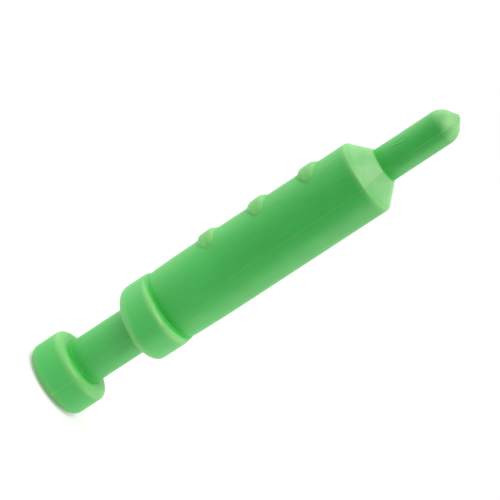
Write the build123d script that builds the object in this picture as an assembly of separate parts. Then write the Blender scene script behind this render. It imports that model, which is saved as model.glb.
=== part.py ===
from build123d import *
import os

# Play syringe from a toy figure's first-aid kit, in millimetres.
#
# Frame: +Z runs along the syringe from the thumb disc to the needle. The origin is the centre of the
# disc's outer face, so the syringe stands on that face with the needle up. The joint plane of the two
# barrel halves is Y = 0, and the graduation marks face -Y.
#
# The plunger (disc, rod, retaining ring) carries the piston, which turns freely on the rod's spigot,
# and the barrel (two halves, guide, needle) slides along the piston.

# --- driving dimensions -------------------------------------------------------------------------

ROD_R = 1.60               # a toy figure's hand closes on a 3.2 mm bar
GRIP_LENGTH = 4.52         # bare rod between the disc and the collar, for one hand

DISC_R = 2.66
DISC_LENGTH = 2.70
DISC_REAR_EDGE_R = 0.68
DISC_FRONT_EDGE_R = 0.52

COLLAR_SPAN = 7.12         # along X, tip to tip before the tips are rounded: the finger grips
COLLAR_WIDTH = 5.24        # along Y
COLLAR_LENGTH = 2.60
COLLAR_TIP_R = 1.20
COLLAR_FRONT_EDGE_R = 0.28
MARKED_REAR_EDGE_R = 0.85  # the two halves of the collar are rounded differently at the rear
PLAIN_REAR_EDGE_R = 0.45

BARREL_REAR_R = 2.51       # the barrel is slightly waisted where it leaves the collar
BARREL_R = 2.58
BARREL_WAIST_LENGTH = 4.00
BARREL_LENGTH = 16.00
NOSE_LENGTH = 1.40

NEEDLE_R = 1.19
NEEDLE_LENGTH = 5.92       # outside the nose, with its tip
TIP_LENGTH = 1.10
TIP_POINT_R = 0.25
TIP_SHOULDER_R = 0.90
TIP_POINT_EDGE_R = 0.20

MARK_COUNT = 3
MARK_PITCH = 4.05
MARK_FIRST = 4.94          # from the collar's front face to the middle of the first mark
MARK_R = 1.75              # each mark is the rim of a coin whose centre is off the axis
MARK_OFFSET = 1.10
MARK_TOP_WIDTH = 0.82
MARK_FLANK_SLOPE = 1.48    # widening of each flank per unit of depth

BORE_R = 2.00              # inside of the barrel
RUNNING_CLEARANCE = 0.05   # radial: piston to bore, and spigot to piston
GUIDE_CLEARANCE = 0.04     # radial: rod to guide
SEAL_CLEARANCE = 0.02      # radial: seal to bore
SEATING_GAP = 0.01         # radial: guide and needle in their pockets
STOP_GAP = 0.05            # left between faces that come up against each other

# --- stations along Z ---------------------------------------------------------------------------

COLLAR_REAR = DISC_LENGTH + GRIP_LENGTH
COLLAR_FRONT = COLLAR_REAR + COLLAR_LENGTH
BARREL_FRONT = COLLAR_FRONT + BARREL_LENGTH
NOSE_FRONT = BARREL_FRONT + NOSE_LENGTH
NEEDLE_FRONT = NOSE_FRONT + NEEDLE_LENGTH

GUIDE_R = 2.15             # pocket of the rod guide, inside the collar
GUIDE_REAR = COLLAR_REAR + 0.60
GUIDE_FRONT = COLLAR_FRONT - 0.45
ROD_HOLE_R = ROD_R + 0.12
BORE_FRONT = BARREL_FRONT - 1.15

FLANGE_R = 1.70            # pocket of the needle's root, inside the nose
FLANGE_REAR = BARREL_FRONT - 0.75
FLANGE_LENGTH = 0.80
NECK_R = 0.85              # hole for the needle's neck, through the nose

PISTON_R = BORE_R - RUNNING_CLEARANCE
PISTON_LENGTH = 2.00
PISTON_EDGE = 0.15
SPIGOT_R = 0.90            # the rod's front end, which the piston turns on
SPIGOT_OVERHANG = 0.75
SPIGOT_FRONT = BORE_FRONT - GRIP_LENGTH - STOP_GAP
PISTON_FRONT = SPIGOT_FRONT - SPIGOT_OVERHANG
PISTON_REAR = PISTON_FRONT - PISTON_LENGTH

SEAL_SECTION_R = 0.26
SEAL_RING_R = BORE_R - SEAL_CLEARANCE - SEAL_SECTION_R
SEAL_Z = PISTON_REAR + PISTON_LENGTH / 2
SEAL_GROOVE_WIDTH = 0.60

RING_GROOVE_R = 0.66
RING_REAR = PISTON_FRONT + STOP_GAP
RING_LENGTH = 0.30
RING_R = 1.35
RING_OPENING = 0.50

SOCKET_R = 1.10            # the rod's rear spigot is pressed into the disc
SOCKET_DEPTH = 1.50

PEG_R = 0.13               # locating pegs on the joint faces of the halves
PEG_LENGTH = 0.35
PEG_SLACK = 0.02
PEG_X = (BORE_R + BARREL_R) / 2
PEG_STATIONS = [COLLAR_FRONT + 2.0, BARREL_FRONT - 2.0]

HALF_SPACE = 100.0         # side of the block that keeps one half


# --- helpers ------------------------------------------------------------------------------------

def turned(*points):
    """Solid of revolution about Z from (radius, z) points."""
    return revolve(Plane.XZ * make_face(Polyline(*points, close=True)), Axis.Z)


def tube(outer_r, inner_r, z0, z1):
    """Ring or sleeve about Z."""
    return turned((inner_r, z0), (outer_r, z0), (outer_r, z1), (inner_r, z1))


def rod(radius, z0, z1):
    """Round bar on the Z axis."""
    bar = Cylinder(radius, z1 - z0, align=(Align.CENTER, Align.CENTER, Align.MIN))
    return Pos(0, 0, z0) * bar


def cross_bar(radius, x, y0, y1, z):
    """Round bar along Y."""
    return Pos(x, (y0 + y1) / 2, z) * Rot(90, 0, 0) * Cylinder(radius, y1 - y0)


def rims(solid, z, radius):
    """The circular edges of a turned solid at one station and one radius."""
    def on_rim(edge):
        return abs(edge.center().Z - z) < 1e-3 and abs(edge.radius - radius) < 1e-3
    return solid.edges().filter_by(GeomType.CIRCLE).filter_by(on_rim)


# --- plunger ------------------------------------------------------------------------------------

def thumb_disc():
    disc = rod(DISC_R, 0, DISC_LENGTH)
    disc = fillet(rims(disc, 0, DISC_R), DISC_REAR_EDGE_R)
    disc = fillet(rims(disc, DISC_LENGTH, DISC_R), DISC_FRONT_EDGE_R)
    return disc - rod(SOCKET_R, DISC_LENGTH - SOCKET_DEPTH, DISC_LENGTH)


def plunger_rod():
    shoulder = PISTON_REAR - STOP_GAP
    body = rod(SOCKET_R, DISC_LENGTH - SOCKET_DEPTH, DISC_LENGTH)
    body += rod(ROD_R, DISC_LENGTH, shoulder)
    body += rod(SPIGOT_R, shoulder, SPIGOT_FRONT)
    body = chamfer(rims(body, SPIGOT_FRONT, SPIGOT_R), PISTON_EDGE)
    return body - tube(ROD_R, RING_GROOVE_R, RING_REAR, RING_REAR + RING_LENGTH)


def retaining_ring():
    """Snap ring in the rod's groove, open on one side."""
    ring = tube(RING_R, RING_GROOVE_R, RING_REAR, RING_REAR + RING_LENGTH)
    opening = Box(RING_R, RING_OPENING, RING_LENGTH * 2)
    return ring - Pos(RING_R / 2, 0, RING_REAR + RING_LENGTH / 2) * opening


# --- piston -------------------------------------------------------------------------------------

def piston():
    head = rod(PISTON_R, PISTON_REAR, PISTON_FRONT)
    edges = rims(head, PISTON_REAR, PISTON_R) + rims(head, PISTON_FRONT, PISTON_R)
    head = chamfer(edges, PISTON_EDGE)
    head -= rod(SPIGOT_R + RUNNING_CLEARANCE, PISTON_REAR, PISTON_FRONT)
    groove_r = SEAL_RING_R - SEAL_SECTION_R
    half_width = SEAL_GROOVE_WIDTH / 2
    return head - tube(BORE_R, groove_r, SEAL_Z - half_width, SEAL_Z + half_width)


def piston_seal():
    return Pos(0, 0, SEAL_Z) * Torus(SEAL_RING_R, SEAL_SECTION_R)


# --- barrel -------------------------------------------------------------------------------------

def needle():
    """Turned pin: flange and neck held in the nose, then the blunt needle with its coned tip."""
    tip_rear = NEEDLE_FRONT - TIP_LENGTH
    pin = turned((0, NOSE_FRONT), (NEEDLE_R, NOSE_FRONT), (NEEDLE_R, tip_rear),
                 (TIP_POINT_R, NEEDLE_FRONT), (0, NEEDLE_FRONT))
    pin = fillet(rims(pin, tip_rear, NEEDLE_R), TIP_SHOULDER_R)
    pin = fillet(rims(pin, NEEDLE_FRONT, TIP_POINT_R), TIP_POINT_EDGE_R)
    neck = rod(NECK_R - SEATING_GAP, FLANGE_REAR, NOSE_FRONT)
    return pin + neck + rod(FLANGE_R - SEATING_GAP, FLANGE_REAR, FLANGE_REAR + FLANGE_LENGTH)


def rod_guide():
    return tube(GUIDE_R - SEATING_GAP, ROD_R + GUIDE_CLEARANCE, GUIDE_REAR, GUIDE_FRONT)


def graduation_mark(z):
    """Coin set off the axis, whose rim stands proud of the barrel and fades into its sides."""
    half_top = MARK_TOP_WIDTH / 2
    half_root = half_top + MARK_FLANK_SLOPE * MARK_R / 2
    coin = turned((0, -half_root), (MARK_R / 2, -half_root), (MARK_R, -half_top),
                  (MARK_R, half_top), (MARK_R / 2, half_root), (0, half_root))
    return Pos(0, -MARK_OFFSET, z) * coin


def collar(rear_edge_r):
    """Finger collar: two flat arcs that meet in rounded tips over the joint plane."""
    half_span = COLLAR_SPAN / 2
    half_width = COLLAR_WIDTH / 2
    arc_r = (half_span**2 + half_width**2) / (2 * half_width)
    arc_offset = arc_r - half_width
    outline = (Pos(0, arc_offset) * Circle(arc_r)) & (Pos(0, -arc_offset) * Circle(arc_r))
    outline = fillet(outline.vertices(), COLLAR_TIP_R)
    flange = Pos(0, 0, COLLAR_REAR) * extrude(outline, COLLAR_LENGTH)
    flange = fillet(flange.faces().sort_by(Axis.Z)[0].edges(), rear_edge_r)
    return fillet(flange.faces().sort_by(Axis.Z)[-1].edges(), COLLAR_FRONT_EDGE_R)


def barrel_body(rear_edge_r):
    """Collar, barrel and nose in one, solid."""
    body = turned((0, GUIDE_REAR), (BARREL_REAR_R, GUIDE_REAR), (BARREL_REAR_R, COLLAR_FRONT),
                  (BARREL_R, COLLAR_FRONT + BARREL_WAIST_LENGTH), (BARREL_R, BARREL_FRONT),
                  (NEEDLE_R, NOSE_FRONT), (0, NOSE_FRONT))
    body += collar(rear_edge_r)
    for index in range(MARK_COUNT):
        body += graduation_mark(COLLAR_FRONT + MARK_FIRST + index * MARK_PITCH)
    return body


def barrel_cavity():
    """Everything cut out of the barrel: rod hole, guide pocket, bore, flange pocket and neck hole."""
    cavity = rod(ROD_HOLE_R, COLLAR_REAR, GUIDE_REAR)
    cavity += rod(GUIDE_R, GUIDE_REAR, GUIDE_FRONT)
    cavity += rod(BORE_R, GUIDE_FRONT, BORE_FRONT)
    cavity += rod(FLANGE_R, FLANGE_REAR, FLANGE_REAR + FLANGE_LENGTH)
    return cavity + rod(NECK_R, FLANGE_REAR, NOSE_FRONT)


def barrel_halves():
    """The half with the marks and the locating pegs, and the plain half with the peg sockets."""
    keep = Box(HALF_SPACE, HALF_SPACE, HALF_SPACE)
    cavity = barrel_cavity()
    marked = barrel_body(MARKED_REAR_EDGE_R) & Pos(0, -HALF_SPACE / 2, 0) * keep
    marked -= cavity
    plain = barrel_body(PLAIN_REAR_EDGE_R) & Pos(0, HALF_SPACE / 2, 0) * keep
    plain -= cavity
    for x in (-PEG_X, PEG_X):
        for z in PEG_STATIONS:
            marked += cross_bar(PEG_R, x, -PEG_LENGTH, PEG_LENGTH, z)
            plain -= cross_bar(PEG_R + PEG_SLACK, x, -PEG_SLACK, PEG_LENGTH + PEG_SLACK, z)
    return marked, plain


# --- parts --------------------------------------------------------------------------------------

marked_half, plain_half = barrel_halves()

nodes = {
    "thumb_disc": thumb_disc(),
    "plunger_rod": plunger_rod(),
    "retaining_ring": retaining_ring(),
    "piston": piston(),
    "piston_seal": piston_seal(),
    "marked_barrel_half": marked_half,
    "plain_barrel_half": plain_half,
    "rod_guide": rod_guide(),
    "needle": needle(),
}

os.makedirs("parts", exist_ok=True)
for name, solid in nodes.items():
    export_step(solid, f"parts/{name}.step")
    print(name, round(solid.volume, 3))

print("barrel slides from", -round(GRIP_LENGTH - STOP_GAP, 3),
      "to", round(PISTON_REAR - GUIDE_FRONT - STOP_GAP, 3))
print("piston's middle at", round(SEAL_Z, 3))
print("needle from", round(NOSE_FRONT, 3), "to", round(NEEDLE_FRONT, 3))
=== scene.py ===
import math

import bmesh
import bpy
import numpy
from mathutils import Matrix, Vector
from mathutils.geometry import tessellate_polygon


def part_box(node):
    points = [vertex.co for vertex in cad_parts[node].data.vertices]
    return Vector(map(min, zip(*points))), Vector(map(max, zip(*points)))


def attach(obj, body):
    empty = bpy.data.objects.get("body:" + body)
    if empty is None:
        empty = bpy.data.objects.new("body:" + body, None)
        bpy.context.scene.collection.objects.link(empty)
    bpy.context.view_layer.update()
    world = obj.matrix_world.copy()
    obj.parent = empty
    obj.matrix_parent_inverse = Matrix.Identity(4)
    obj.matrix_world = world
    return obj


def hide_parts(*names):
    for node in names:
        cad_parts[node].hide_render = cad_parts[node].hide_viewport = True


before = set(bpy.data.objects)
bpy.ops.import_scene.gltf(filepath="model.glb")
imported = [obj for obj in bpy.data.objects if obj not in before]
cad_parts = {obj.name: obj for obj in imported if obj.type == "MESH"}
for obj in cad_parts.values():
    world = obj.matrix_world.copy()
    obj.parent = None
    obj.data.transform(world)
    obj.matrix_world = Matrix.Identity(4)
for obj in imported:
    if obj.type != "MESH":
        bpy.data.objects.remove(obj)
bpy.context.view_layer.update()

MM = 0.001
TAU = 2 * math.pi


# --- sizes, in millimetres ------------------------------------------------------------------------

def cad(node):
    """A CAD node's lowest and highest corner, in millimetres."""
    low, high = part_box(node)
    return low / MM, high / MM


DISC_R = cad("thumb_disc")[1].x
DISC_FRONT = cad("thumb_disc")[1].z
DISC_REAR_EDGE_R = 0.68
DISC_FRONT_EDGE_R = 0.52
DISC_SOCKET_R = 1.10
DISC_SOCKET_DEPTH = 1.50

ROD_R = cad("plunger_rod")[1].x
ROD_FRONT = cad("plunger_rod")[1].z
ROD_ROOT_R = 0.14                    # hollow between the disc and the rod
PISTON_REAR = cad("piston")[0].z
STOP_GAP = 0.05
SPIGOT_R = 0.90
SPIGOT_EDGE_R = 0.15
SHOULDER_EDGE_R = 0.06
RING_REAR = cad("retaining_ring")[0].z
RING_FRONT = cad("retaining_ring")[1].z
RING_GROOVE_R = 0.66

COLLAR_REAR = cad("marked_barrel_half")[0].z
COLLAR_LENGTH = 2.60
COLLAR_FRONT = COLLAR_REAR + COLLAR_LENGTH
COLLAR_HALF_SPAN = cad("marked_barrel_half")[1].x
COLLAR_HALF_WIDTH = 2.62
COLLAR_VERTEX = math.radians(9.0)    # lean of both flanks where they meet, from the joint plane's normal
COLLAR_FRONT_EDGE_R = 0.42
MARKED_REAR_EDGE_R = 0.85
PLAIN_REAR_EDGE_R = 0.45
REAR_EDGE_GROWTH = 0.7               # power of the sine that the marked half's rounding grows with

NOSE_FRONT = cad("marked_barrel_half")[1].z
NOSE_LENGTH = 1.40
BARREL_FRONT = NOSE_FRONT - NOSE_LENGTH
BARREL_REAR_R = 2.51
BARREL_R = 2.58
BARREL_WAIST_LENGTH = 4.00
BARREL_FRONT_EDGE_R = 0.26
ROOT_R = 0.07                        # hollow where the barrel leaves the collar

BORE_R = 2.00
BORE_CAP = 1.15                      # wall between the bore and the nose
BORE_FRONT = BARREL_FRONT - BORE_CAP
ROD_HOLE_R = 1.72
ROD_HOLE_EDGE_R = 0.03
GUIDE_REAR = cad("rod_guide")[0].z
GUIDE_FRONT = cad("rod_guide")[1].z
GUIDE_R = 2.15
FLANGE_REAR = cad("needle")[0].z
FLANGE_LENGTH = 0.80
FLANGE_FRONT = FLANGE_REAR + FLANGE_LENGTH
FLANGE_R = 1.70
NECK_R = 0.85
SEATING_GAP = 0.06                   # radial, which leaves room for the ridge on the needle's root

NEEDLE_R = 1.19
NEEDLE_FRONT = cad("needle")[1].z
NEEDLE_ROOT_R = 0.20                 # hollow between the nose and the needle
DOME_LENGTH = 1.25                   # the tip is half an ellipse, with a moulding nub on it
NUB_HEIGHT = 0.33
NUB_ROOT_R = 0.53
NUB_TOP_R = 0.11
NUB_TOP_EDGE_R = 0.06

NICK_Z = NOSE_FRONT + 1.74           # a crescent nick in the needle, with a lip along one side
NICK_ANGLE = math.radians(-47.0)
NICK_HALF_LENGTH = 0.45
NICK_BEND = 0.40                     # radians per square millimetre
NICK_BELLY = 0.20                    # from its middle to its point farthest from the marks, along Z
NICK_WIDTH = 0.055
NICK_LIP = 0.034
NICK_DENT = 0.016
NICK_DENT_PLACE = 1.8                # from the lip, in nick widths

MARK_COUNT = 3
MARK_PITCH = 4.05
MARK_FIRST = 4.94                    # from the collar to the middle of the first mark
MARK_STATIONS = [COLLAR_FRONT + MARK_FIRST + index * MARK_PITCH for index in range(MARK_COUNT)]
MARK_R = 1.75                        # a coin whose centre is off the axis, towards -Y
MARK_OFFSET = 1.10
MARK_HALF_TOP = 0.46                 # at the crown: the top narrows to nothing at both ends
MARK_REACH = math.radians(36.0)      # from the crown to either end
MARK_FLANK_SLOPE = 1.48              # widening of each flank per unit of depth
MARK_EDGE = 0.07                     # softening between the top and its flanks
MARK_BLEND = 0.08

# The moulds met on the joint plane: every moulded piece rises to a low ridge along it, with a fine
# line of flash on top. Heights and widths of the flash are in millimetres.
BARREL_RIDGE = 0.028                 # height as a share of the radius
ROD_RIDGE = 0.011
DISC_RIDGE = 0.004
RIDGE_SPREAD = 0.30                  # radians over which it dies away
ROD_RIDGE_SPREAD = 0.20
DISC_RIDGE_SPREAD = 0.10
FLASH = 0.008
FLASH_WIDTH = 0.04

# Painted light and shade in the plastic's colour: paler at an edge, as if lit, and greener in a hollow, as
# painted shade. Each mesh stores a bend at every point for this, in radians per millimetre: above zero
# at an edge, below it in a hollow.
BEND_SPREAD = 0.11                   # distance over which a bend is felt
# Painted highlight along the joint line of flash.
SEAM_PALENESS = 1.15
SEAM_WIDTH = 0.05
# Painted light on the raised tops of the graduation marks.
MARK_PALENESS = 1.5
MARK_RISE = 0.12                     # height at which a mark is palest
CREVICE_SHADE = 3.2
CREVICE_REACH = 0.80                 # distance over which the shade dies away
FOOT_REACH = 0.35                    # how far the outline's own bends are left out beside a neighbour
NOSE_REACH = 0.18                    # how far the bends are left out where the nose meets the needle
BAND_GAIN = 2.2                      # the painted highlight on the collar's front edge fades out where its step does
COLLAR_STEP = 0.60                   # height of a step whose foot is in full shade

# How fine the meshes are.
SAME_PLACE = 0.00002                 # points nearer than this are one point
SHARP = math.radians(40)
ARC_STEP = math.radians(9.0)         # of a rounded edge
RUN_STEP = 0.25                      # of a straight run, in millimetres
FINE_STEP = 0.06
SUPPORT = 0.03                       # loop that holds each rounded edge
MARK_STEP = 0.05                     # along the barrel, over a mark
MARK_DEPTH = 0.35                    # how deep below a mark's top its flanks are followed
DOME_ROWS = 20
ROD_ROOT_STEPS = 6
SEAM_STEPS = (0, 0.3, 0.6, 1.0, 1.5, 2.2, 3.2)  # degrees from the joint plane
ANGLE_STEP = 1.5                     # degrees, elsewhere
HALVINGS = 30                        # of the range in which the collar's outline is looked for

# The barrel's rows, from the rod's hole to the needle. Every angle has as many, so that they join up.
HOLE_EDGE_STEPS = 4
REAR_FACE_ROWS = 4
REAR_EDGE_STEPS = 14
COLLAR_SIDE_ROWS = 8
FRONT_EDGE_STEPS = 10
FRONT_FACE_ROWS = 5
COLLAR_ROOT_STEPS = 5
SHOULDER_STEPS = 5
NOSE_ROWS = 9
NEEDLE_ROOT_STEPS = 4


# --- outlines -------------------------------------------------------------------------------------

def rounded(corners, step=RUN_STEP):
    """Points of an outline of (radius, z, rounding) corners: arcs at the corners, even steps between."""
    arcs = []
    last = len(corners) - 1
    for index, (r, z, edge_r) in enumerate(corners):
        here = Vector((r, z))
        if index in (0, last) or edge_r == 0:
            arcs.append([here])
            continue
        back = (Vector(corners[index - 1][:2]) - here).normalized()
        ahead = (Vector(corners[index + 1][:2]) - here).normalized()
        opening = math.acos(max(-1.0, min(1.0, back.dot(ahead))))
        reach = edge_r / math.tan(opening / 2)
        centre = here + (back + ahead).normalized() * (edge_r / math.sin(opening / 2))
        arcs.append(arc_between(centre, here + back * reach, here + ahead * reach))
    points = list(arcs[0])
    for arc in arcs[1:]:
        points += run(points[-1], arc[0], step) + arc
    return points


def arc_between(centre, start, end, steps=None):
    """Points of the shorter arc about centre, both ends included."""
    spoke = start - centre
    other = end - centre
    turn = math.atan2(spoke.x * other.y - spoke.y * other.x, spoke.dot(other))
    steps = steps or max(3, math.ceil(abs(turn) / ARC_STEP))
    points = []
    for step in range(steps + 1):
        cos_a = math.cos(turn * step / steps)
        sin_a = math.sin(turn * step / steps)
        turned_spoke = Vector((spoke.x * cos_a - spoke.y * sin_a, spoke.x * sin_a + spoke.y * cos_a))
        points.append(centre + turned_spoke)
    return points


def run(start, end, step=RUN_STEP):
    """Points strictly between a straight run's ends: a support loop by each end, even steps between."""
    length = (end - start).length
    if length < 3 * SUPPORT:
        return []
    count = max(1, round((length - 2 * SUPPORT) / step))
    shares = [(SUPPORT + (length - 2 * SUPPORT) * index / count) / length for index in range(count + 1)]
    return [start.lerp(end, share) for share in shares]


def half_angles(start):
    """Angles round one half, from one joint line to the other, close together beside them."""
    near = [math.radians(step) for step in SEAM_STEPS]
    count = round((180 - 2 * SEAM_STEPS[-1]) / ANGLE_STEP)
    span = math.pi - 2 * near[-1]
    middle = [near[-1] + span * index / count for index in range(1, count)]
    return [start + offset for offset in near + middle + [math.pi - offset for offset in reversed(near)]]


def seam_angle(angle):
    """Angle from the nearer joint line, where the halves met."""
    folded = angle % math.pi
    return min(folded, math.pi - folded)


def ridged(radius, angle, ridge=BARREL_RIDGE, spread=RIDGE_SPREAD):
    """A round radius with the parting ridge and its flash."""
    away = seam_angle(angle)
    flash = FLASH * math.exp(-(away * radius / FLASH_WIDTH) ** 2)
    return radius * (1 + ridge * math.exp(-away / spread)) + flash


def rod_ridged(radius, angle):
    """The rod's lower ridge, which clears the guide's bore."""
    return ridged(radius, angle, ROD_RIDGE, ROD_RIDGE_SPREAD)


def disc_ridged(radius, angle):
    """The disc's faint ridge, so that it is all but round up to the line of flash."""
    return ridged(radius, angle, DISC_RIDGE, DISC_RIDGE_SPREAD)


# --- meshes ---------------------------------------------------------------------------------------

def bends(outline):
    """How much a closed outline bends near each point, in radians per millimetre, positive at an edge.

    The outline runs counter-clockwise. Its bends are spread over BEND_SPREAD, as light spreads in plastic.
    """
    points = numpy.array([tuple(point) for point in outline])
    ahead = numpy.roll(points, -1, axis=0) - points
    length = numpy.hypot(ahead[:, 0], ahead[:, 1])
    heading = numpy.unwrap(numpy.arctan2(ahead[:, 1], ahead[:, 0]))
    turn = (heading - numpy.roll(heading, 1) + math.pi) % TAU - math.pi
    turn[length < SAME_PLACE] = 0
    along = numpy.concatenate([[0], numpy.cumsum(length)[:-1]])
    apart = (along[:, None] - along[None, :]) / BEND_SPREAD
    return (numpy.exp(-apart ** 2 / 2) @ turn) / (BEND_SPREAD * math.sqrt(TAU))


def seam_highlight(radius, angle):
    """A painted highlight on the line of flash along the joint plane."""
    return SEAM_PALENESS * math.exp(-(seam_angle(angle) * radius / SEAM_WIDTH) ** 2)


def crevice_bend(distance, depth=1.0):
    """The shade beside a step or a neighbouring piece, deepest at the foot of it."""
    return -CREVICE_SHADE * depth * math.exp(-max(0.0, distance) / CREVICE_REACH)


def new_piece(name, points, faces, bend):
    """A smooth-shaded mesh object from points in millimetres, with the bend at each point.

    Points on the same place are joined.
    """
    mesh = bpy.data.meshes.new(name)
    mesh.from_pydata([(x * MM, y * MM, z * MM) for x, y, z in points], [], faces)
    mesh.attributes.new("bend", "FLOAT", "POINT").data.foreach_set("value", bend)
    work = bmesh.new()
    work.from_mesh(mesh)
    bmesh.ops.remove_doubles(work, verts=work.verts, dist=SAME_PLACE * MM)
    work.to_mesh(mesh)
    work.free()
    mesh.polygons.foreach_set("use_smooth", [True] * len(mesh.polygons))
    mesh.set_sharp_from_angle(angle=SHARP)
    piece = bpy.data.objects.new(name, mesh)
    bpy.context.scene.collection.objects.link(piece)
    return piece


def turned(name, outline, shape, relief=None, foot=None):
    """A closed piece turned about Z from outline points that start and end on the axis.

    shape(radius, angle) gives the radius that a round one becomes, and relief(angle, z) adds to it.
    foot is the station where the piece comes out of its neighbour.
    """
    angles = half_angles(-math.pi)[:-1] + half_angles(0)[:-1]
    columns = len(angles)
    points = [(0, 0, outline[0].y)]
    faces = []
    rows = outline[1:-1]
    for r, z in rows:
        for angle in angles:
            radius = shape(r, angle)
            if relief:
                radius += relief(angle, z)
            points.append((radius * math.cos(angle), radius * math.sin(angle), z))
    points.append((0, 0, outline[-1].y))
    row_bends = list(bends(outline))
    # Painted shade beside the neighbouring piece, deepest at the foot, in place of the outline's own bends
    # there.
    if foot is not None:
        for row, (r, z) in enumerate(outline):
            beside_foot = abs(z - foot) < FOOT_REACH
            row_bends[row] = crevice_bend(z - foot) + (0 if beside_foot else row_bends[row])
    bend = [row_bends[0]]
    for (r, z), row_bend in zip(rows, row_bends[1:-1]):
        bend += [row_bend + seam_highlight(r, angle) for angle in angles]
    bend.append(row_bends[-1])
    for column in range(columns):
        following = (column + 1) % columns
        faces.append((0, 1 + following, 1 + column))
        for row in range(len(rows) - 1):
            low = 1 + row * columns
            high = low + columns
            faces.append((low + column, low + following, high + following, high + column))
        top = 1 + (len(rows) - 1) * columns
        faces.append((len(points) - 1, top + column, top + following))
    return new_piece(name, points, faces, bend)


# --- the barrel -----------------------------------------------------------------------------------

def collar_radius(angle):
    """Distance from the axis to the collar's outline: two flat arcs that meet over the joint plane."""
    lean = math.sin(COLLAR_VERTEX)
    arc_r = COLLAR_HALF_WIDTH / (1 - lean)
    stretch = COLLAR_HALF_SPAN / (arc_r * math.cos(COLLAR_VERTEX))
    away = seam_angle(angle)
    low, high = COLLAR_VERTEX, math.pi / 2
    for _ in range(HALVINGS):
        middle = (low + high) / 2
        x = stretch * arc_r * math.cos(middle)
        y = arc_r * (math.sin(middle) - lean)
        if math.atan2(y, x) < away:
            low = middle
        else:
            high = middle
    return math.hypot(x, y)


def rear_edge_radius(angle):
    """Rounding of the collar's rear rim, which is fuller on the marked half, away from the joint."""
    if math.sin(angle) >= 0:
        return PLAIN_REAR_EDGE_R
    share = math.sin(seam_angle(angle)) ** REAR_EDGE_GROWTH
    return PLAIN_REAR_EDGE_R + (MARKED_REAR_EDGE_R - PLAIN_REAR_EDGE_R) * share


def waisted(z):
    """Plain barrel radius, which grows away from the collar."""
    share = min(1.0, max(0.0, (z - COLLAR_FRONT) / BARREL_WAIST_LENGTH))
    return BARREL_REAR_R + (BARREL_R - BARREL_REAR_R) * math.sin(share * math.pi / 2)


def mark_radius(angle, z):
    """Distance from the axis to the nearest graduation mark's coin, or 0 where there is none."""
    from_crown = angle + math.pi / 2
    half_top = MARK_HALF_TOP * math.sqrt(max(0.0, 1 - (from_crown / MARK_REACH) ** 2))
    outside = min(abs(z - station) for station in MARK_STATIONS) - half_top
    depth = (outside + math.hypot(outside, MARK_EDGE)) / 2
    coin_r = MARK_R - depth / MARK_FLANK_SLOPE
    reach = coin_r ** 2 - (MARK_OFFSET * math.sin(from_crown)) ** 2
    if math.cos(from_crown) <= 0 or coin_r <= 0 or reach <= 0:
        return 0.0
    return MARK_OFFSET * math.cos(from_crown) + math.sqrt(reach)


def barrel_radius(angle, z):
    """The barrel's outside with its ridge and, on the marked half, its graduation marks."""
    plain = ridged(waisted(z), angle)
    mark = mark_radius(angle, z) if math.sin(angle) < 0 else 0.0
    gap = mark - plain
    if gap <= -MARK_BLEND:
        return plain
    if gap >= MARK_BLEND:
        return mark
    return plain + (gap + MARK_BLEND) ** 2 / (4 * MARK_BLEND)


def barrel_stations():
    """Places along the barrel, close together over each mark."""
    reach = MARK_HALF_TOP + MARK_FLANK_SLOPE * MARK_DEPTH
    stations = []
    z = COLLAR_FRONT + ROOT_R + SUPPORT
    end = BARREL_FRONT - BARREL_FRONT_EDGE_R
    while z < end - SUPPORT:
        stations.append(z)
        from_mark = min(abs(abs(z - station) - reach) for station in MARK_STATIONS)
        near_mark = any(abs(z - station) < reach for station in MARK_STATIONS)
        z += MARK_STEP if near_mark else min(RUN_STEP, 2 * MARK_STEP + 0.5 * from_mark)
    return stations


def spread(start, end, count):
    """A fixed number of points strictly between two ends, with one close to each end."""
    near, far = 0.04, 0.96
    return [start.lerp(end, near + (far - near) * index / (count - 1)) for index in range(count)]


def nose_half_turn():
    """Half the angle between the nose's cone and the axis."""
    return math.atan2(BARREL_R - NEEDLE_R, NOSE_FRONT - BARREL_FRONT) / 2


def needle_flare():
    """How far the hollow at the needle's root still stands out at the nose's front."""
    along = NEEDLE_ROOT_R * math.tan(nose_half_turn())
    return NEEDLE_ROOT_R - math.sqrt(NEEDLE_ROOT_R ** 2 - along ** 2)


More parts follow.
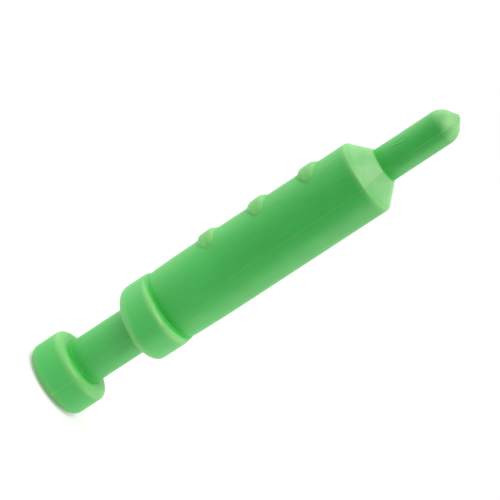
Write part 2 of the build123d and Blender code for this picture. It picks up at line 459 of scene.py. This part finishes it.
def barrel_column(angle, stations):
    """The closed outline of the barrel's wall at one angle: outside from rear to front, then inside."""
    collar_r = collar_radius(angle)
    rear_r = rear_edge_radius(angle)
    root_r = barrel_radius(angle, COLLAR_FRONT)
    nose_r = ridged(NEEDLE_R, angle)

    hole = arc_between(Vector((ROD_HOLE_R + ROD_HOLE_EDGE_R, COLLAR_REAR + ROD_HOLE_EDGE_R)),
                       Vector((ROD_HOLE_R, COLLAR_REAR + ROD_HOLE_EDGE_R)),
                       Vector((ROD_HOLE_R + ROD_HOLE_EDGE_R, COLLAR_REAR)), HOLE_EDGE_STEPS)
    rear = arc_between(Vector((collar_r - rear_r, COLLAR_REAR + rear_r)),
                       Vector((collar_r - rear_r, COLLAR_REAR)),
                       Vector((collar_r, COLLAR_REAR + rear_r)), REAR_EDGE_STEPS)
    drop = min(COLLAR_FRONT_EDGE_R, collar_r - root_r - ROOT_R)
    swing = math.acos(1 - drop / COLLAR_FRONT_EDGE_R)
    centre = Vector((collar_r - COLLAR_FRONT_EDGE_R, COLLAR_FRONT - COLLAR_FRONT_EDGE_R))
    end = centre + COLLAR_FRONT_EDGE_R * Vector((math.cos(swing), math.sin(swing)))
    front = arc_between(centre, Vector((collar_r, centre.y)), end, FRONT_EDGE_STEPS)
    root = arc_between(Vector((root_r + ROOT_R, COLLAR_FRONT + ROOT_R)),
                       Vector((root_r + ROOT_R, COLLAR_FRONT)),
                       Vector((root_r, COLLAR_FRONT + ROOT_R)), COLLAR_ROOT_STEPS)
    column = hole + spread(hole[-1], rear[0], REAR_FACE_ROWS) + rear
    column += spread(rear[-1], front[0], COLLAR_SIDE_ROWS) + front
    column += spread(front[-1], root[0], FRONT_FACE_ROWS) + root
    column += [Vector((barrel_radius(angle, z), z)) for z in stations]

    shoulder = Vector((barrel_radius(angle, BARREL_FRONT), BARREL_FRONT))
    fall = (Vector((nose_r, NOSE_FRONT)) - shoulder).normalized()
    half_turn = math.atan2(-fall.x, fall.y) / 2
    along = BARREL_FRONT_EDGE_R * math.tan(half_turn)
    edge = arc_between(shoulder - Vector((BARREL_FRONT_EDGE_R, along)), shoulder - Vector((0, along)),
                       shoulder + fall * along, SHOULDER_STEPS)
    along = NEEDLE_ROOT_R * math.tan(half_turn)
    hollow = arc_between(Vector((nose_r + NEEDLE_ROOT_R, NOSE_FRONT + along)),
                         Vector((nose_r, NOSE_FRONT)) - fall * along,
                         Vector((nose_r + needle_flare(), NOSE_FRONT)), NEEDLE_ROOT_STEPS)
    column += edge + spread(edge[-1], hollow[0], NOSE_ROWS) + hollow

    inside = [(NECK_R, NOSE_FRONT), (NECK_R, FLANGE_FRONT), (FLANGE_R, FLANGE_FRONT),
              (FLANGE_R, FLANGE_REAR), (0, FLANGE_REAR),
              (0, BORE_FRONT), (BORE_R, BORE_FRONT), (BORE_R, GUIDE_FRONT),
              (GUIDE_R, GUIDE_FRONT), (GUIDE_R, GUIDE_REAR), (ROD_HOLE_R, GUIDE_REAR)]
    return column + [Vector(point) for point in inside]


def barrel_bends(angle, column):
    """The bends of one column, with painted light on the marks and joint line and painted shade beside the
    collar.

    An edge that bends more than a mark is pale already, and keeps its own bend.
    """
    step = min(1.0, max(0.0, (collar_radius(angle) - BARREL_REAR_R) / COLLAR_STEP))
    found = []
    for (r, z), bend in zip(column, bends(column)):
        if r >= NEEDLE_R and z > COLLAR_FRONT and bend < MARK_PALENESS:
            # Painted light on a mark's raised top, and painted shade at the foot of the collar.
            raised = max(0.0, r - ridged(waisted(z), angle)) if z < BARREL_FRONT else 0.0
            bend += MARK_PALENESS * min(1.0, raised / MARK_RISE)
            bend += crevice_bend(z - COLLAR_FRONT - ROOT_R, step)
        # The painted highlight on the collar's front edge fades where the step is low.
        if abs(z - COLLAR_FRONT) < COLLAR_FRONT_EDGE_R:
            bend *= min(1.0, BAND_GAIN * step) if bend > 0 else 1.0
        if abs(z - NOSE_FRONT) < NOSE_REACH:
            bend = 0
        found.append(bend + seam_highlight(r, angle))
    return found


def barrel_half(name, start):
    """One half of the barrel as a closed solid, from its first joint face round to its second."""
    angles = half_angles(start)
    stations = barrel_stations()
    points = []
    bend = []
    for angle in angles:
        column = barrel_column(angle, stations)
        points += [(r * math.cos(angle), r * math.sin(angle), z) for r, z in column]
        bend += barrel_bends(angle, column)
    rows = len(column)
    last = (len(angles) - 1) * rows
    faces = []
    for low in range(0, last, rows):
        for row in range(rows):
            ahead = (row + 1) % rows
            faces.append((low + row, low + rows + row, low + rows + ahead, low + ahead))
    outline = [Vector((r, z, 0)) for r, z in column]
    for a, b, c in tessellate_polygon([outline]):
        if (outline[b] - outline[a]).cross(outline[c] - outline[a]).z < 0:
            b, c = c, b
        faces.append((a, b, c))
        faces.append((last + a, last + c, last + b))
    return new_piece(name, points, faces, bend)


# --- the needle -----------------------------------------------------------------------------------

def needle_outline():
    """The needle from its flange, held in the nose, to the nub on its tip."""
    neck_r = NECK_R - SEATING_GAP
    flange_r = FLANGE_R - SEATING_GAP
    held = rounded([(0, FLANGE_REAR, 0), (flange_r, FLANGE_REAR, 0), (flange_r, FLANGE_FRONT, 0),
                    (neck_r, FLANGE_FRONT, 0), (neck_r, NOSE_FRONT, 0)])
    along = NEEDLE_ROOT_R * math.tan(nose_half_turn())
    root = arc_between(Vector((NEEDLE_R + NEEDLE_ROOT_R, NOSE_FRONT + along)),
                       Vector((NEEDLE_R + needle_flare(), NOSE_FRONT)),
                       Vector((NEEDLE_R, NOSE_FRONT + along)), NEEDLE_ROOT_STEPS)
    swing = math.acos(NUB_ROOT_R / NEEDLE_R)
    dome_rear = NEEDLE_FRONT - NUB_HEIGHT - DOME_LENGTH * math.sin(swing)
    dome = []
    for index in range(DOME_ROWS + 1):
        angle = swing * index / DOME_ROWS
        dome.append(Vector((NEEDLE_R * math.cos(angle), dome_rear + DOME_LENGTH * math.sin(angle))))
    nub = rounded([(NUB_ROOT_R, NEEDLE_FRONT - NUB_HEIGHT, 0), (NUB_TOP_R, NEEDLE_FRONT, NUB_TOP_EDGE_R),
                   (0, NEEDLE_FRONT, 0)], FINE_STEP)
    return held + root + run(root[-1], dome[0], FINE_STEP) + dome + nub[1:]


def nick(angle, z):
    """The crescent nick: a raised lip, with a dent on the side towards the marks."""
    from_middle = z - NICK_Z
    share = 1 - (from_middle / NICK_HALF_LENGTH) ** 2
    if share <= 0:
        return 0.0
    line = NICK_ANGLE - NICK_BEND * (from_middle - NICK_BELLY) ** 2
    across = (angle - line) * NEEDLE_R
    lip = NICK_LIP * math.exp(-(across / NICK_WIDTH) ** 2)
    dent = NICK_DENT * math.exp(-(across / NICK_WIDTH + NICK_DENT_PLACE) ** 2)
    return math.sqrt(share) * (lip - dent)


# --- the plunger ----------------------------------------------------------------------------------

def disc_outline():
    """The thumb disc, with its socket for the rod."""
    bottom = DISC_FRONT - DISC_SOCKET_DEPTH
    return rounded([(0, 0, 0), (DISC_R, 0, DISC_REAR_EDGE_R), (DISC_R, DISC_FRONT, DISC_FRONT_EDGE_R),
                    (DISC_SOCKET_R, DISC_FRONT, 0), (DISC_SOCKET_R, bottom, 0), (0, bottom, 0)])


def rod_outline():
    """The plunger rod, from its end in the disc to the spigot that the piston turns on."""
    rear = DISC_FRONT - DISC_SOCKET_DEPTH
    end_r = DISC_SOCKET_R - SEATING_GAP
    shoulder = PISTON_REAR - STOP_GAP
    held = rounded([(0, rear, 0), (end_r, rear, 0), (end_r, DISC_FRONT, 0)])
    root = arc_between(Vector((ROD_R + ROD_ROOT_R, DISC_FRONT + ROD_ROOT_R)),
                       Vector((ROD_R + ROD_ROOT_R, DISC_FRONT)),
                       Vector((ROD_R, DISC_FRONT + ROD_ROOT_R)), ROD_ROOT_STEPS)
    front = rounded([(root[-1].x, root[-1].y, 0), (ROD_R, shoulder, SHOULDER_EDGE_R),
                     (SPIGOT_R, shoulder, 0), (SPIGOT_R, RING_REAR, 0),
                     (RING_GROOVE_R, RING_REAR, 0), (RING_GROOVE_R, RING_FRONT, 0),
                     (SPIGOT_R, RING_FRONT, 0), (SPIGOT_R, ROD_FRONT, SPIGOT_EDGE_R), (0, ROD_FRONT, 0)])
    return held + root + front[1:]


# --- materials ------------------------------------------------------------------------------------

GREEN_DEEP = (0.007, 0.370, 0.044)
GREEN_LIGHT = (0.010, 0.405, 0.053)
# Painted light on edges, the joint line and the marks' tops.
GREEN_LIT_EDGE = (0.120, 0.440, 0.105)
# Painted shade in hollows and beside neighbouring pieces.
GREEN_SHADED_HOLLOW = (0.000, 0.380, 0.022)
# Painted light on the nose cone and the tip, and rubbed wear there, in blotches.
GREEN_LIT_AND_RUBBED = (0.190, 0.455, 0.185)
GREEN_SPECK = (0.110, 0.600, 0.170)
NATURAL = ((0.80, 0.78, 0.70), (0.88, 0.87, 0.81))
RUBBER = ((0.018, 0.018, 0.019), (0.050, 0.050, 0.052))

# Sizes in the plastics, in millimetres. A stretch shortens (above 1) or lengthens a pattern along X, Y, Z.
SCATTER = 0.12                       # how far light wanders in the green plastic
CLOUDS = 2.4
WAVES = 0.9
RUBBING = 0.55
SPECK_PATCHES = 1.3
SPECK_SPACING = 0.62
SPECK_R = 0.055
SCUFFS = 0.22
SCUFF_STRETCH = (1.0, 1.0, 0.12)
GRAIN = 0.07
NATURAL_SCATTER = 0.40
NATURAL_CLOUDS = 0.8
RINGS = 0.6
RING_STRETCH = (0.05, 0.05, 14.0)
DUST = 0.12
RUBBER_GRAIN = 0.05


class Shader:
    """A procedural material round one Principled shader, with coordinates in millimetres."""

    def __init__(self, name, **settings):
        self.material = bpy.data.materials.new(name)
        self.material.use_nodes = True
        self.nodes = self.material.node_tree.nodes
        self.links = self.material.node_tree.links
        self.surface = self.nodes["Principled BSDF"]
        for socket, value in settings.items():
            self.surface.inputs[socket.replace("_", " ")].default_value = value
        self.place = self.nodes.new("ShaderNodeVectorMath")
        self.place.operation = "SCALE"
        self.place.inputs["Scale"].default_value = 1 / MM
        coordinates = self.nodes.new("ShaderNodeTexCoord")
        self.links.new(coordinates.outputs["Object"], self.place.inputs[0])

    def noise(self, size, detail=2.0, stretch=(1, 1, 1)):
        """Noise whose blobs are about size millimetres across, as a value of about 0.3 to 0.7."""
        texture = self.nodes.new("ShaderNodeTexNoise")
        texture.inputs["Scale"].default_value = 1 / size
        texture.inputs["Detail"].default_value = detail
        if stretch == (1, 1, 1):
            self.links.new(self.place.outputs[0], texture.inputs["Vector"])
        else:
            squeeze = self.nodes.new("ShaderNodeVectorMath")
            squeeze.operation = "MULTIPLY"
            squeeze.inputs[1].default_value = stretch
            self.links.new(self.place.outputs[0], squeeze.inputs[0])
            self.links.new(squeeze.outputs[0], texture.inputs["Vector"])
        return texture.outputs["Fac"]

    def specks(self, spacing, radius):
        """Small round specks, 1 in each speck's middle and 0 between them."""
        texture = self.nodes.new("ShaderNodeTexVoronoi")
        texture.inputs["Scale"].default_value = 1 / spacing
        self.links.new(self.place.outputs[0], texture.inputs["Vector"])
        return self.between(texture.outputs["Distance"], radius / spacing, 0.0, 0.0, 1.0)

    def attribute(self, name):
        """A value stored at the mesh's points."""
        node = self.nodes.new("ShaderNodeAttribute")
        node.attribute_name = name
        return node.outputs["Fac"]

    def station(self):
        """The place along Z, in millimetres."""
        node = self.nodes.new("ShaderNodeSeparateXYZ")
        self.links.new(self.place.outputs[0], node.inputs[0])
        return node.outputs["Z"]

    def between(self, value, low, high, to_low, to_high):
        """A value that runs from to_low to to_high as another runs from low to high."""
        ramp = self.nodes.new("ShaderNodeMapRange")
        ramp.inputs["From Min"].default_value = low
        ramp.inputs["From Max"].default_value = high
        ramp.inputs["To Min"].default_value = to_low
        ramp.inputs["To Max"].default_value = to_high
        self.links.new(value, ramp.inputs["Value"])
        return ramp.outputs["Result"]

    def blend(self, share, first, second):
        """A colour between two, each a colour or a socket."""
        mix = self.nodes.new("ShaderNodeMix")
        mix.data_type = "RGBA"
        self.links.new(share, mix.inputs["Factor"])
        for socket, colour in ((mix.inputs[6], first), (mix.inputs[7], second)):
            if isinstance(colour, tuple):
                socket.default_value = (*colour, 1)
            else:
                self.links.new(colour, socket)
        return mix.outputs[2]

    def math(self, operation, first, second):
        """Two values combined, where the second may be a number."""
        step = self.nodes.new("ShaderNodeMath")
        step.operation = operation
        self.links.new(first, step.inputs[0])
        if isinstance(second, (int, float)):
            step.inputs[1].default_value = second
        else:
            self.links.new(second, step.inputs[1])
        return step.outputs[0]

    def bump(self, height, depth):
        """Relief of the given depth in millimetres, on top of any set before."""
        bump = self.nodes.new("ShaderNodeBump")
        bump.inputs["Distance"].default_value = depth * MM
        self.links.new(height, bump.inputs["Height"])
        normal = self.surface.inputs["Normal"]
        if normal.is_linked:
            self.links.new(normal.links[0].from_socket, bump.inputs["Normal"])
        self.links.new(bump.outputs["Normal"], normal)

    def use(self, socket, value):
        """Feeds a value into one of the surface's sockets."""
        self.links.new(value, self.surface.inputs[socket])


def green_plastic():
    """Satin moulded plastic, a little translucent: cloudy colour with painted light and shade, a fine
    grain, specks and faint scuffs.
    """
    shader = Shader("green_plastic", IOR=1.49, Subsurface_Weight=1.0, Subsurface_Scale=SCATTER * MM,
                    Subsurface_Radius=(0.40, 1.0, 0.40), Specular_IOR_Level=1.0)
    cloud = shader.between(shader.noise(CLOUDS, 3), 0.35, 0.65, 0, 1)
    colour = shader.blend(cloud, GREEN_DEEP, GREEN_LIGHT)
    bend = shader.attribute("bend")
    # Painted light: paler where the surface bends out at an edge, the joint line or a mark's top.
    colour = shader.blend(shader.between(bend, 0.3, 2.4, 0, 0.9), colour, GREEN_LIT_EDGE)
    # Painted shade: greener and darker in hollows and beside neighbouring pieces.
    colour = shader.blend(shader.between(bend, -0.4, -3.0, 0, 0.8), colour, GREEN_SHADED_HOLLOW)
    # Painted light on the nose cone and the tip, which face the overhead light, and rubbed wear there, in
    # blotches.
    station = shader.station()
    nose = shader.math("MULTIPLY", shader.between(station, BARREL_FRONT, BARREL_FRONT + 0.3, 0, 1),
                       shader.between(station, NOSE_FRONT, NOSE_FRONT - 0.1, 0, 1))
    tip = shader.between(station, NEEDLE_FRONT - 1.4, NEEDLE_FRONT - 0.6, 0, 1.15)
    lit_and_worn = shader.math("ADD", nose, tip)
    rubbed = shader.between(shader.noise(RUBBING, 3), 0.34, 0.66, 0.52, 0.74)
    colour = shader.blend(shader.math("MULTIPLY", lit_and_worn, rubbed), colour, GREEN_LIT_AND_RUBBED)
    patches = shader.between(shader.noise(SPECK_PATCHES, 1), 0.52, 0.6, 0, 1)
    specks = shader.math("MULTIPLY", shader.specks(SPECK_SPACING, SPECK_R), patches)
    colour = shader.blend(shader.math("MULTIPLY", specks, 0.35), colour, GREEN_SPECK)
    scuffs = shader.between(shader.noise(SCUFFS, 4, SCUFF_STRETCH), 0.60, 0.70, 0, 1)
    colour = shader.blend(shader.math("MULTIPLY", scuffs, 0.10), colour, GREEN_SPECK)
    shader.use("Base Color", colour)
    grain = shader.noise(GRAIN, 3)
    rough = shader.between(grain, 0.35, 0.65, 0.44, 0.52)
    rough = shader.math("ADD", rough, shader.between(bend, -0.8, -3.0, 0, 0.35))
    shader.use("Roughness", shader.math("ADD", rough, shader.math("MULTIPLY", scuffs, 0.06)))
    shader.bump(shader.noise(WAVES, 2), 0.020)
    shader.bump(grain, 0.006)
    shader.bump(specks, 0.006)
    return shader.material


def natural_plastic():
    """Uncoloured plastic of the inner turned pieces, with the turning tool's fine rings."""
    shader = Shader("natural_plastic", IOR=1.47, Subsurface_Weight=0.25,
                    Subsurface_Scale=NATURAL_SCATTER * MM)
    colour = shader.blend(shader.noise(NATURAL_CLOUDS, 3), *NATURAL)
    shader.use("Base Color", colour)
    rings = shader.noise(RINGS, 1, RING_STRETCH)
    shader.use("Roughness", shader.between(rings, 0.3, 0.7, 0.46, 0.60))
    shader.bump(rings, 0.006)
    return shader.material


def seal_rubber():
    """Black rubber of the piston seal."""
    shader = Shader("seal_rubber", IOR=1.52)
    dust = shader.between(shader.noise(DUST, 4), 0.45, 0.75, 0, 1)
    shader.use("Base Color", shader.blend(dust, *RUBBER))
    shader.use("Roughness", shader.between(dust, 0, 1, 0.55, 0.72))
    shader.bump(shader.noise(RUBBER_GRAIN, 2), 0.003)
    return shader.material


GREEN = green_plastic()
PLAIN = natural_plastic()
INNER_MATERIALS = {
    "piston": PLAIN,
    "piston_seal": seal_rubber(),
    "rod_guide": PLAIN,
    "retaining_ring": PLAIN,
}


# --- the pieces, on their bodies ------------------------------------------------------------------

def place(piece, body, node):
    """A green piece that stands for a CAD node and rides on its body."""
    piece.data.materials.append(GREEN)
    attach(piece, body)
    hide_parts(node)


place(turned("moulded_thumb_disc", disc_outline(), disc_ridged), "plunger", "thumb_disc")
place(turned("moulded_plunger_rod", rod_outline(), rod_ridged, foot=DISC_FRONT), "plunger", "plunger_rod")
place(turned("moulded_needle", needle_outline(), ridged, nick, NOSE_FRONT), "barrel", "needle")
place(barrel_half("moulded_marked_half", -math.pi), "barrel", "marked_barrel_half")
place(barrel_half("moulded_plain_half", 0.0), "barrel", "plain_barrel_half")

for node, material in INNER_MATERIALS.items():
    for material_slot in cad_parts[node].material_slots:
        material_slot.material = material


# --- floor, light and camera ----------------------------------------------------------------------

def way(azimuth, elevation):
    """The direction at an azimuth from -Y towards +X, and an elevation above the floor."""
    return Vector((math.sin(azimuth) * math.cos(elevation),
                   -math.cos(azimuth) * math.cos(elevation),
                   math.sin(elevation)))


AZIMUTH = math.radians(77.0)
ELEVATION = math.radians(15.0)
ROLL = math.radians(33.29)           # the axis is drawn this far above the picture's level
DISTANCE = 0.250
FRAME_WIDTH = 32.87                  # millimetres across the picture at the aim's distance
AIM_Z = 16.51
AIM_LEFT = 0.184                     # how far left of the axis the camera aims, before its roll
SENSOR = 36.0

# The view's right, the way from the syringe to the camera, and the view's up, all before the roll.
RIGHT = Vector((math.cos(AZIMUTH), math.sin(AZIMUTH), 0))
BACK = way(AZIMUTH, ELEVATION)
UP = BACK.cross(RIGHT)

FLOOR_R = 35.0                       # millimetres
FLOOR_SIDES = 96
FLOOR_DROP = 0.02                    # below the disc's face, so that the two don't share a plane
FLOOR_GLOW = 0.30
FLOOR_COLOURS = ((0.55, 0.55, 0.58), (0.57, 0.57, 0.60))
FLOOR_CLOUDS = 40.0                  # millimetres
FRONT_LIGHT = 0.38                   # strength of the surroundings on the camera's side
BACK_LIGHT = 1.38                    # and behind and above the syringe
LIGHT_RISE = 0.8                     # how steeply the lighter side's middle rises
LIGHT_EDGES = (-0.6, 1.1)            # where the change from one to the other starts and ends
LIGHT_COLOUR = (1.0, 0.99, 0.88)

# name, azimuth from the camera's and elevation (degrees), distance and size (metres), brightness
SOFTBOXES = (
    ("overhead", -15, 60, 0.80, 0.64, 3.8),
    ("marked_side", -112, 8, 0.50, 0.40, 1.5),
    ("marked_front", -66, 8, 0.50, 0.30, 1.5),
    ("plain_side", 92, 8, 0.50, 0.40, 2.0),
)


def floor():
    """A round pale floor under the thumb disc."""
    rim = []
    for index in range(FLOOR_SIDES):
        angle = TAU * index / FLOOR_SIDES
        rim.append(Vector((FLOOR_R * math.cos(angle), FLOOR_R * math.sin(angle), -FLOOR_DROP)) * MM)
    mesh = bpy.data.meshes.new("floor")
    mesh.from_pydata(rim, [], [tuple(range(FLOOR_SIDES))])
    ground = bpy.data.objects.new("floor", mesh)
    bpy.context.scene.collection.objects.link(ground)
    shader = Shader("pale_floor", Roughness=0.75, Specular_IOR_Level=0.2, Emission_Color=(1, 1, 1, 1),
                    Emission_Strength=FLOOR_GLOW)
    shader.use("Base Color", shader.blend(shader.noise(FLOOR_CLOUDS, 2), *FLOOR_COLOURS))
    mesh.materials.append(shader.material)


def softbox(name, azimuth, elevation, distance, size, brightness):
    """A square area light that faces the middle of the object, its azimuth counted from the camera's."""
    light = bpy.data.lights.new(name, "AREA")
    light.shape = "SQUARE"
    light.size = size
    light.color = LIGHT_COLOUR
    light.energy = brightness * size ** 2 * math.pi
    lamp = bpy.data.objects.new(name, light)
    back = way(AZIMUTH + math.radians(azimuth), math.radians(elevation))
    lamp.location = Vector((0, 0, AIM_Z * MM)) + back * distance
    lamp.rotation_euler = back.to_track_quat("Z", "Y").to_euler()
    bpy.context.scene.collection.objects.link(lamp)


def surroundings():
    """A pale studio all round, lighter behind the syringe, which the camera sees as plain white."""
    world = bpy.data.worlds.new("studio")
    world.use_nodes = True
    bpy.context.scene.world = world
    nodes, links = world.node_tree.nodes, world.node_tree.links
    light = nodes["Background"]
    light.inputs["Color"].default_value = (*LIGHT_COLOUR, 1)
    coordinates = nodes.new("ShaderNodeTexCoord")
    facing = nodes.new("ShaderNodeVectorMath")
    facing.operation = "DOT_PRODUCT"
    facing.inputs[1].default_value = (-math.sin(AZIMUTH), math.cos(AZIMUTH), LIGHT_RISE)
    gradient = nodes.new("ShaderNodeMapRange")
    gradient.interpolation_type = "SMOOTHSTEP"
    gradient.inputs["From Min"].default_value = LIGHT_EDGES[0]
    gradient.inputs["From Max"].default_value = LIGHT_EDGES[1]
    gradient.inputs["To Min"].default_value = FRONT_LIGHT
    gradient.inputs["To Max"].default_value = BACK_LIGHT
    links.new(coordinates.outputs["Generated"], facing.inputs[0])
    links.new(facing.outputs["Value"], gradient.inputs["Value"])
    links.new(gradient.outputs["Result"], light.inputs["Strength"])
    backdrop = nodes.new("ShaderNodeBackground")
    backdrop.inputs["Color"].default_value = (1, 1, 1, 1)
    backdrop.inputs["Strength"].default_value = 1.0
    path = nodes.new("ShaderNodeLightPath")
    mix = nodes.new("ShaderNodeMixShader")
    links.new(path.outputs["Is Camera Ray"], mix.inputs["Fac"])
    links.new(light.outputs[0], mix.inputs[1])
    links.new(backdrop.outputs[0], mix.inputs[2])
    links.new(mix.outputs[0], nodes["World Output"].inputs["Surface"])


floor()
surroundings()
for settings in SOFTBOXES:
    softbox(*settings)


def camera():
    """The camera, rolled so that the syringe points up to the right."""
    lens = bpy.data.cameras.new("camera")
    lens.sensor_width = SENSOR
    lens.lens = SENSOR * DISTANCE / (FRAME_WIDTH * MM)
    lens.clip_start = 0.01
    lens.clip_end = 100
    view = bpy.data.objects.new("camera", lens)
    bpy.context.scene.collection.objects.link(view)
    aim = (Vector((0, 0, AIM_Z)) - RIGHT * AIM_LEFT) * MM
    across = math.sin(ROLL) * RIGHT + math.cos(ROLL) * UP
    upward = math.sin(ROLL) * UP - math.cos(ROLL) * RIGHT
    turn = Matrix((across, upward, BACK)).transposed().to_4x4()
    view.matrix_world = Matrix.Translation(aim + BACK * DISTANCE) @ turn
    bpy.context.scene.camera = view


camera()
bpy.context.scene.view_settings.view_transform = "Standard"
